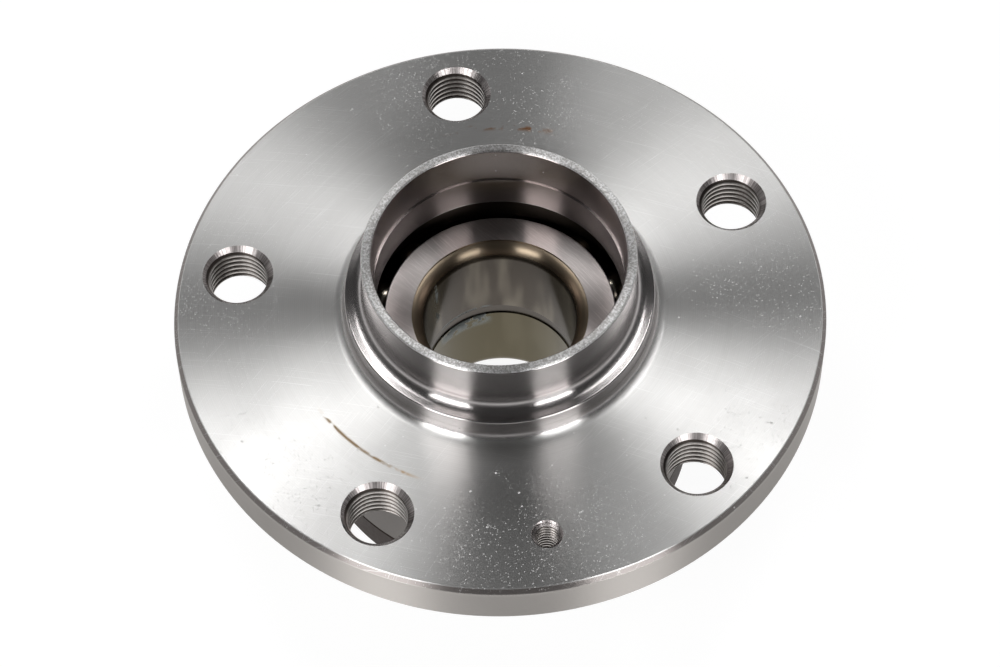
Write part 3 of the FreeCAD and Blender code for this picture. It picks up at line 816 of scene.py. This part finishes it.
class HUB_OT_inner_rings(Operator):
    """The two ground inner rings, end to end on the axle, and the spring ring that couples them"""

    bl_idname = "hub.inner_rings"
    bl_label = "Inner rings"

    def execute(self, context):
        sizes = context.scene.hub_bearing
        edge = context.scene.hub_sizes.edge_break
        material = ring_finish(context.scene.hub_colours)
        shift = sizes.raceway_ease - sizes.ball_clearance
        groove = BALL_RADIUS + sizes.raceway_ease
        groove_radius = PITCH_RADIUS + math.cos(sizes.contact_angle) * shift
        groove_offset = ROW_OFFSET - math.sin(sizes.contact_angle) * shift
        shoulder_offset = groove_offset + math.sqrt(groove**2 - (groove_radius - INNER_SHOULDER) ** 2)
        bottom = groove_radius - groove
        corner = sizes.bore_corner
        corner_height = RING_WIDTH - sizes.bore_relief - corner
        step = SPINDLE_BORE + sizes.bore_step
        corner_end = corner_height + math.sqrt(corner**2 - (SPINDLE_BORE + corner - step) ** 2)
        coupling_end = high("coupling_ring") - RING_JOINT
        hook = outer_radius("coupling_ring") + sizes.coupling_play
        ledge = hook - sizes.coupling_hook
        hook_end = coupling_end + sizes.coupling_play
        hook_start = coupling_end - sizes.coupling_hook_width - sizes.coupling_play
        section = [
            (SPINDLE_BORE, corner_height, -corner),
            (step, corner_end),
            (step, RING_WIDTH),
            (INNER_SHOULDER - edge, RING_WIDTH),
            (INNER_SHOULDER, RING_WIDTH - edge),
            (INNER_SHOULDER, shoulder_offset, groove),
            (bottom, groove_offset),
            (bottom, edge),
            (bottom - edge, 0),
            (ledge, 0),
            (ledge, hook_start),
            (hook, hook_start),
            (hook, hook_end),
            (SPINDLE_BORE, hook_end),
        ]
        for row, side in (("outboard", 1), ("inboard", -1)):
            node = f"{row}_inner_ring"
            corners = in_place(section, RING_JOINT, side)
            ring_piece(f"{node}_ground", corners, material, "spindle_side", node)
        self.coupling_ring(context, sizes, coupling_end)
        return {"FINISHED"}

    @staticmethod
    def coupling_ring(context, sizes, end):
        inside = SPINDLE_BORE + sizes.coupling_recess
        outside = inside + sizes.coupling_thickness
        hook = outside + sizes.coupling_hook
        hook_start = end - sizes.coupling_hook_width
        upper = [(outside, hook_start), (hook, hook_start), (hook, end), (inside, end)]
        lower = [(radius, -height) for radius, height in reversed(upper)]
        slot = sizes.coupling_slot / inside
        bm = bmesh.new()
        turned(bm, in_place(upper + lower, RING_JOINT), closed=True, angle=FULL_TURN - slot, segments=160)
        bmesh.ops.holes_fill(bm, edges=[edge for edge in bm.edges if edge.is_boundary], sides=0)
        bmesh.ops.rotate(
            bm, verts=bm.verts, cent=(0, 0, 0), matrix=Matrix.Rotation(-math.pi / 2 + slot / 2, 3, "Z")
        )
        # Dark spring steel, toned down as painted shade to match the bore.
        material = plain_finish("coupling_spring_steel", context.scene.hub_colours.spring, 1.0, 0.35)
        finished(bm, "coupling_spring", [material], "spindle_side", ["coupling_ring"])


class HUB_OT_balls(Operator):
    """Both rows of polished balls in their moulded cages"""

    bl_idname = "hub.balls"
    bl_label = "Balls and cages"

    def execute(self, context):
        colours = context.scene.hub_colours
        material = plain_finish("ball_polished_steel", colours.ball, 1.0, 0.2)
        for node in BALL_NODES:
            bm = bmesh.new()
            bmesh.ops.create_icosphere(
                bm, subdivisions=4, radius=BALL_RADIUS, matrix=Matrix.Translation(ball_centre(node))
            )
            finished(bm, f"{node}_polished", [material], node, [node])
        cage = plain_finish("cage_moulded", colours.cage, 0.0, 0.5)
        for node in ("outboard_cage", "inboard_cage"):
            frame["nodes"][node].data.materials[0] = cage
        return {"FINISHED"}


class HUB_OT_seal_and_encoder(Operator):
    """Pressed seal rings, the rubber lip and the speed sensor's encoder"""

    bl_idname = "hub.seal_and_encoder"
    bl_label = "Seal and encoder"

    def execute(self, context):
        sizes = context.scene.hub_bearing
        colours = context.scene.hub_colours
        steel = plain_finish("seal_pressed_steel", colours.seal_steel, 1.0, 0.35)
        self.seal_case(sizes, steel)
        self.flinger(sizes, steel)
        self.encoder(context, sizes, steel)
        rubber = plain_finish("seal_rubber", colours.rubber, 0.0, 0.6)
        frame["nodes"]["seal_lip"].data.materials[0] = rubber
        return {"FINISHED"}

    @staticmethod
    def seal_case(sizes, material):
        lowest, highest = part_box("seal_case")
        web_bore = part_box("seal_lip")[1][0] - sizes.case_web
        inside = SEAL_SEAT - sizes.sheet
        outer_bend = sizes.sheet + sizes.bend
        top = highest[2]
        corners = [
            (SEAL_SEAT, lowest[2]),
            (SEAL_SEAT, top - outer_bend, outer_bend),
            (SEAL_SEAT - outer_bend, top),
            (web_bore, top),
            (web_bore, top - sizes.sheet),
            (inside - sizes.bend, top - sizes.sheet, -sizes.bend),
            (inside, top - outer_bend),
            (inside, lowest[2]),
        ]
        ring_piece("seal_case_pressed", corners, material, "hub", "seal_case")

    @staticmethod
    def flinger(sizes, material):
        lowest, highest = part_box("flinger")
        inside = INNER_SHOULDER
        sleeve = inside + sizes.sheet
        outer_bend = sizes.sheet + sizes.bend
        web = lowest[2]
        corners = [
            (sleeve, highest[2]),
            (inside, highest[2]),
            (inside, web + outer_bend, outer_bend),
            (inside + outer_bend, web),
            (highest[0], web),
            (highest[0], web + sizes.sheet),
            (sleeve + sizes.bend, web + sizes.sheet, -sizes.bend),
            (sleeve, web + outer_bend),
        ]
        ring_piece("flinger_pressed", corners, material, "spindle_side", "flinger")

    @staticmethod
    def encoder(context, sizes, steel):
        edge = context.scene.hub_sizes.edge_break
        lowest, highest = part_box("encoder_carrier")
        band_low, band_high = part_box("encoder_ring")
        sheet = BARREL_END - lowest[2]
        carrier = highest[0]
        seat = carrier - sheet
        foot = seat - sizes.carrier_foot
        corners = [
            (foot, BARREL_END),
            (seat, BARREL_END),
            (seat, highest[2]),
            (carrier, highest[2]),
            (carrier, BARREL_END, -sheet),
            (seat, lowest[2]),
            (foot, lowest[2]),
        ]
        ring_piece("encoder_carrier_pressed", corners, steel, "hub", "encoder_carrier")
        outside = band_high[0]
        corners = [
            (carrier, band_low[2]),
            (carrier, band_high[2]),
            (outside - edge, band_high[2]),
            (outside, band_high[2] - edge),
            (outside, band_low[2] + edge),
            (outside - edge, band_low[2]),
        ]
        band = plain_finish("encoder_rubber", context.scene.hub_colours.encoder, 0.0, 0.6)
        ring_piece("encoder_band", corners, band, "hub", "encoder_ring")


# ---------------------------------------------------------------- studio


def seen_rays(tree):
    """1 for the camera, in gloss and through glass, and 0 for all other light."""
    rays = tree.nodes.new("ShaderNodeLightPath").outputs
    seen = Wire(tree, rays["Is Camera Ray"]).maths("MAXIMUM", Wire(tree, rays["Is Glossy Ray"]))
    return seen.maths("MAXIMUM", Wire(tree, rays["Is Transmission Ray"]))


def white_over(tree, share, shader, white):
    """Mixes white over a plain shader."""
    mix = tree.nodes.new("ShaderNodeMixShader")
    plug(tree, mix.inputs[0], share)
    tree.links.new(shader, mix.inputs[1])
    tree.links.new(white, mix.inputs[2])
    return mix.outputs[0]


# How the room's white walls fade out, upwards and to the sides, as sines.
LOW_WALL_FADE = 0.04
BACK_WALL_FADE = 0.2
BACK_WALL_SIDES = (0.6, 0.85)

# Name, side, angle up, angle back and twist in degrees, length up and across in metres, radiance.
SOFT_BOXES = (
    ("high_left", -1, 73.8, 21.1, 0, 0.33, 0.29, 6.6),
    ("high_right", 1, 71.8, 21.1, 0, 0.26, 0.29, 7.6),
    ("strip_left", -1, 51.5, -41, 41, 0.40, 0.65, 5.6),
    ("strip_right", 1, 46.5, -44.5, 46, 0.40, 0.50, 5.6),
)


class HUB_OT_studio(Operator):
    """Floor, soft boxes, sky and camera"""

    bl_idname = "hub.studio"
    bl_label = "Studio"

    def execute(self, context):
        settings = context.scene.hub_studio
        self.world(context, settings)
        self.floor(settings)
        self.lamps(context, settings)
        self.camera(context, settings)
        context.scene.view_settings.view_transform = "Standard"
        return {"FINISHED"}

    @staticmethod
    def world(context, settings):
        world = bpy.data.worlds.new("studio_sky")
        context.scene.world = world
        world.use_nodes = True
        tree = world.node_tree
        turned_room = tree.nodes.new("ShaderNodeVectorRotate")
        turned_room.rotation_type = "Z_AXIS"
        turned_room.inputs["Angle"].default_value = -settings.azimuth
        plug(tree, turned_room.inputs["Vector"], tree.nodes.new("ShaderNodeTexCoord").outputs["Generated"])
        parts = tree.nodes.new("ShaderNodeSeparateXYZ")
        plug(tree, parts.inputs[0], turned_room.outputs[0])
        height, depth = Wire(tree, parts.outputs["Z"]), Wire(tree, parts.outputs["Y"])
        back_wall = height.between(settings.wall_top, settings.wall_top - BACK_WALL_FADE)
        back_wall = back_wall * depth.between(*BACK_WALL_SIDES)
        room = tree.nodes["Background"]
        room.inputs["Color"].default_value = (1, 1, 1, 1)
        room.inputs["Strength"].default_value = settings.sky
        white = tree.nodes.new("ShaderNodeBackground")
        white.inputs["Color"].default_value = (1, 1, 1, 1)
        white.inputs["Strength"].default_value = 1.0
        low_wall = height.between(settings.low_wall_top + LOW_WALL_FADE, settings.low_wall_top)
        low_wall = low_wall * seen_rays(tree)
        share = low_wall.maths("MAXIMUM", back_wall * settings.walls)
        surface = white_over(tree, share, room.outputs[0], white.outputs[0])
        tree.links.new(surface, tree.nodes["World Output"].inputs["Surface"])

    @staticmethod
    def floor(settings):
        bm = bmesh.new()
        bmesh.ops.create_grid(
            bm,
            x_segments=1,
            y_segments=1,
            size=settings.floor_size / 2,
            matrix=Matrix.Translation((0, 0, CAD_BOX[0][2] - settings.floor_gap)),
        )
        mesh = as_mesh(bm, "studio_floor")
        floor = bpy.data.objects.new("studio_floor", mesh)
        bpy.context.scene.collection.objects.link(floor)
        material = bpy.data.materials.new("studio_floor")
        material.use_nodes = True
        tree = material.node_tree
        shader = tree.nodes["Principled BSDF"]
        shader.inputs["Base Color"].default_value = (0.8, 0.8, 0.8, 1)
        shader.inputs["Roughness"].default_value = 0.9
        glow = tree.nodes.new("ShaderNodeEmission")
        glow.inputs["Strength"].default_value = settings.floor_white
        faint = tree.nodes.new("ShaderNodeBsdfDiffuse")
        faint.inputs["Color"].default_value = (*[settings.floor_shade] * 3, 1)
        both = tree.nodes.new("ShaderNodeAddShader")
        tree.links.new(glow.outputs[0], both.inputs[0])
        tree.links.new(faint.outputs[0], both.inputs[1])
        output = tree.nodes["Material Output"]
        surface = white_over(tree, seen_rays(tree), shader.outputs[0], both.outputs[0])
        tree.links.new(surface, output.inputs["Surface"])
        mesh.materials.append(material)

    @staticmethod
    def lamps(context, settings):
        aim = Vector((0, 0, FLANGE_FACE))
        for name, side, rise, depth, twist, length_up, length_across, radiance in SOFT_BOXES:
            lamp = bpy.data.lights.new(f"soft_box_{name}", "AREA")
            lamp.shape = "RECTANGLE"
            lamp.size, lamp.size_y = length_across, length_up
            lamp.energy = settings.lamp_level * radiance * math.pi * length_across * length_up
            box = bpy.data.objects.new(lamp.name, lamp)
            rise, depth = math.radians(rise), math.radians(depth)
            way = (side * math.cos(depth) * math.cos(rise), math.sin(depth), math.cos(depth) * math.sin(rise))
            way = Vector(way)
            across = (Vector((0, 1, 0)) - way * way.y).normalized()
            turn = Matrix((across, way.cross(across), way)).transposed()
            turn = turn @ Matrix.Rotation(side * math.radians(twist), 3, "Z")
            box.matrix_world = (
                Matrix.Translation(aim)
                @ Matrix.Rotation(settings.azimuth, 4, "Z")
                @ Matrix.Translation(way * settings.lamp_distance)
                @ turn.to_4x4()
            )
            context.scene.collection.objects.link(box)

    @staticmethod
    def camera(context, settings):
        turn, rise, roll = settings.azimuth, settings.elevation, settings.roll
        right = Vector((math.cos(turn), math.sin(turn), 0))
        up = Vector((-math.sin(turn) * math.sin(rise), math.cos(turn) * math.sin(rise), math.cos(rise)))
        back = right.cross(up)
        aim = Vector((0, 0, FLANGE_FACE)) + right * settings.aim_right + up * settings.aim_up
        camera = bpy.data.cameras.new("studio_camera")
        camera.lens = settings.lens
        camera.clip_start = 0.01
        view = bpy.data.objects.new("studio_camera", camera)
        side = right * math.cos(roll) - up * math.sin(roll)
        top = right * math.sin(roll) + up * math.cos(roll)
        turn_matrix = Matrix((side, top, back)).transposed().to_4x4()
        view.matrix_world = Matrix.Translation(aim + back * settings.distance) @ turn_matrix
        context.scene.collection.objects.link(view)
        context.scene.camera = view


class HUB_PT_bearing(Panel):
    """Lists the pieces of the hub bearing and their sizes"""

    bl_idname = "HUB_PT_bearing"
    bl_label = "Hub bearing"
    bl_space_type = "VIEW_3D"
    bl_region_type = "UI"
    bl_category = "Hub bearing"

    def draw(self, context):
        for operator in OPERATORS:
            self.layout.operator(operator.bl_idname)
        for name in GROUPS:
            group = getattr(context.scene, name)
            box = self.layout.box()
            for key in group.bl_rna.properties.keys():
                if key not in ("rna_type", "name"):
                    box.prop(group, key)


OPERATORS = (HUB_OT_studio, HUB_OT_hub_flange, HUB_OT_inner_rings, HUB_OT_balls, HUB_OT_seal_and_encoder)
GROUPS = {
    "hub_sizes": HubSizes,
    "hub_bearing": BearingSizes,
    "hub_colours": FinishColours,
    "hub_studio": StudioSettings,
}
CLASSES = (*GROUPS.values(), *OPERATORS, HUB_PT_bearing)


def register():
    for item in CLASSES:
        bpy.utils.register_class(item)
    for name, group in GROUPS.items():
        setattr(bpy.types.Scene, name, PointerProperty(type=group))


def unregister():
    for name in GROUPS:
        delattr(bpy.types.Scene, name)
    for item in reversed(CLASSES):
        bpy.utils.unregister_class(item)


def main():
    register()
    for operator in OPERATORS:
        group, name = operator.bl_idname.split(".")
        getattr(getattr(bpy.ops, group), name)()


if __name__ == "__main__":
    main()
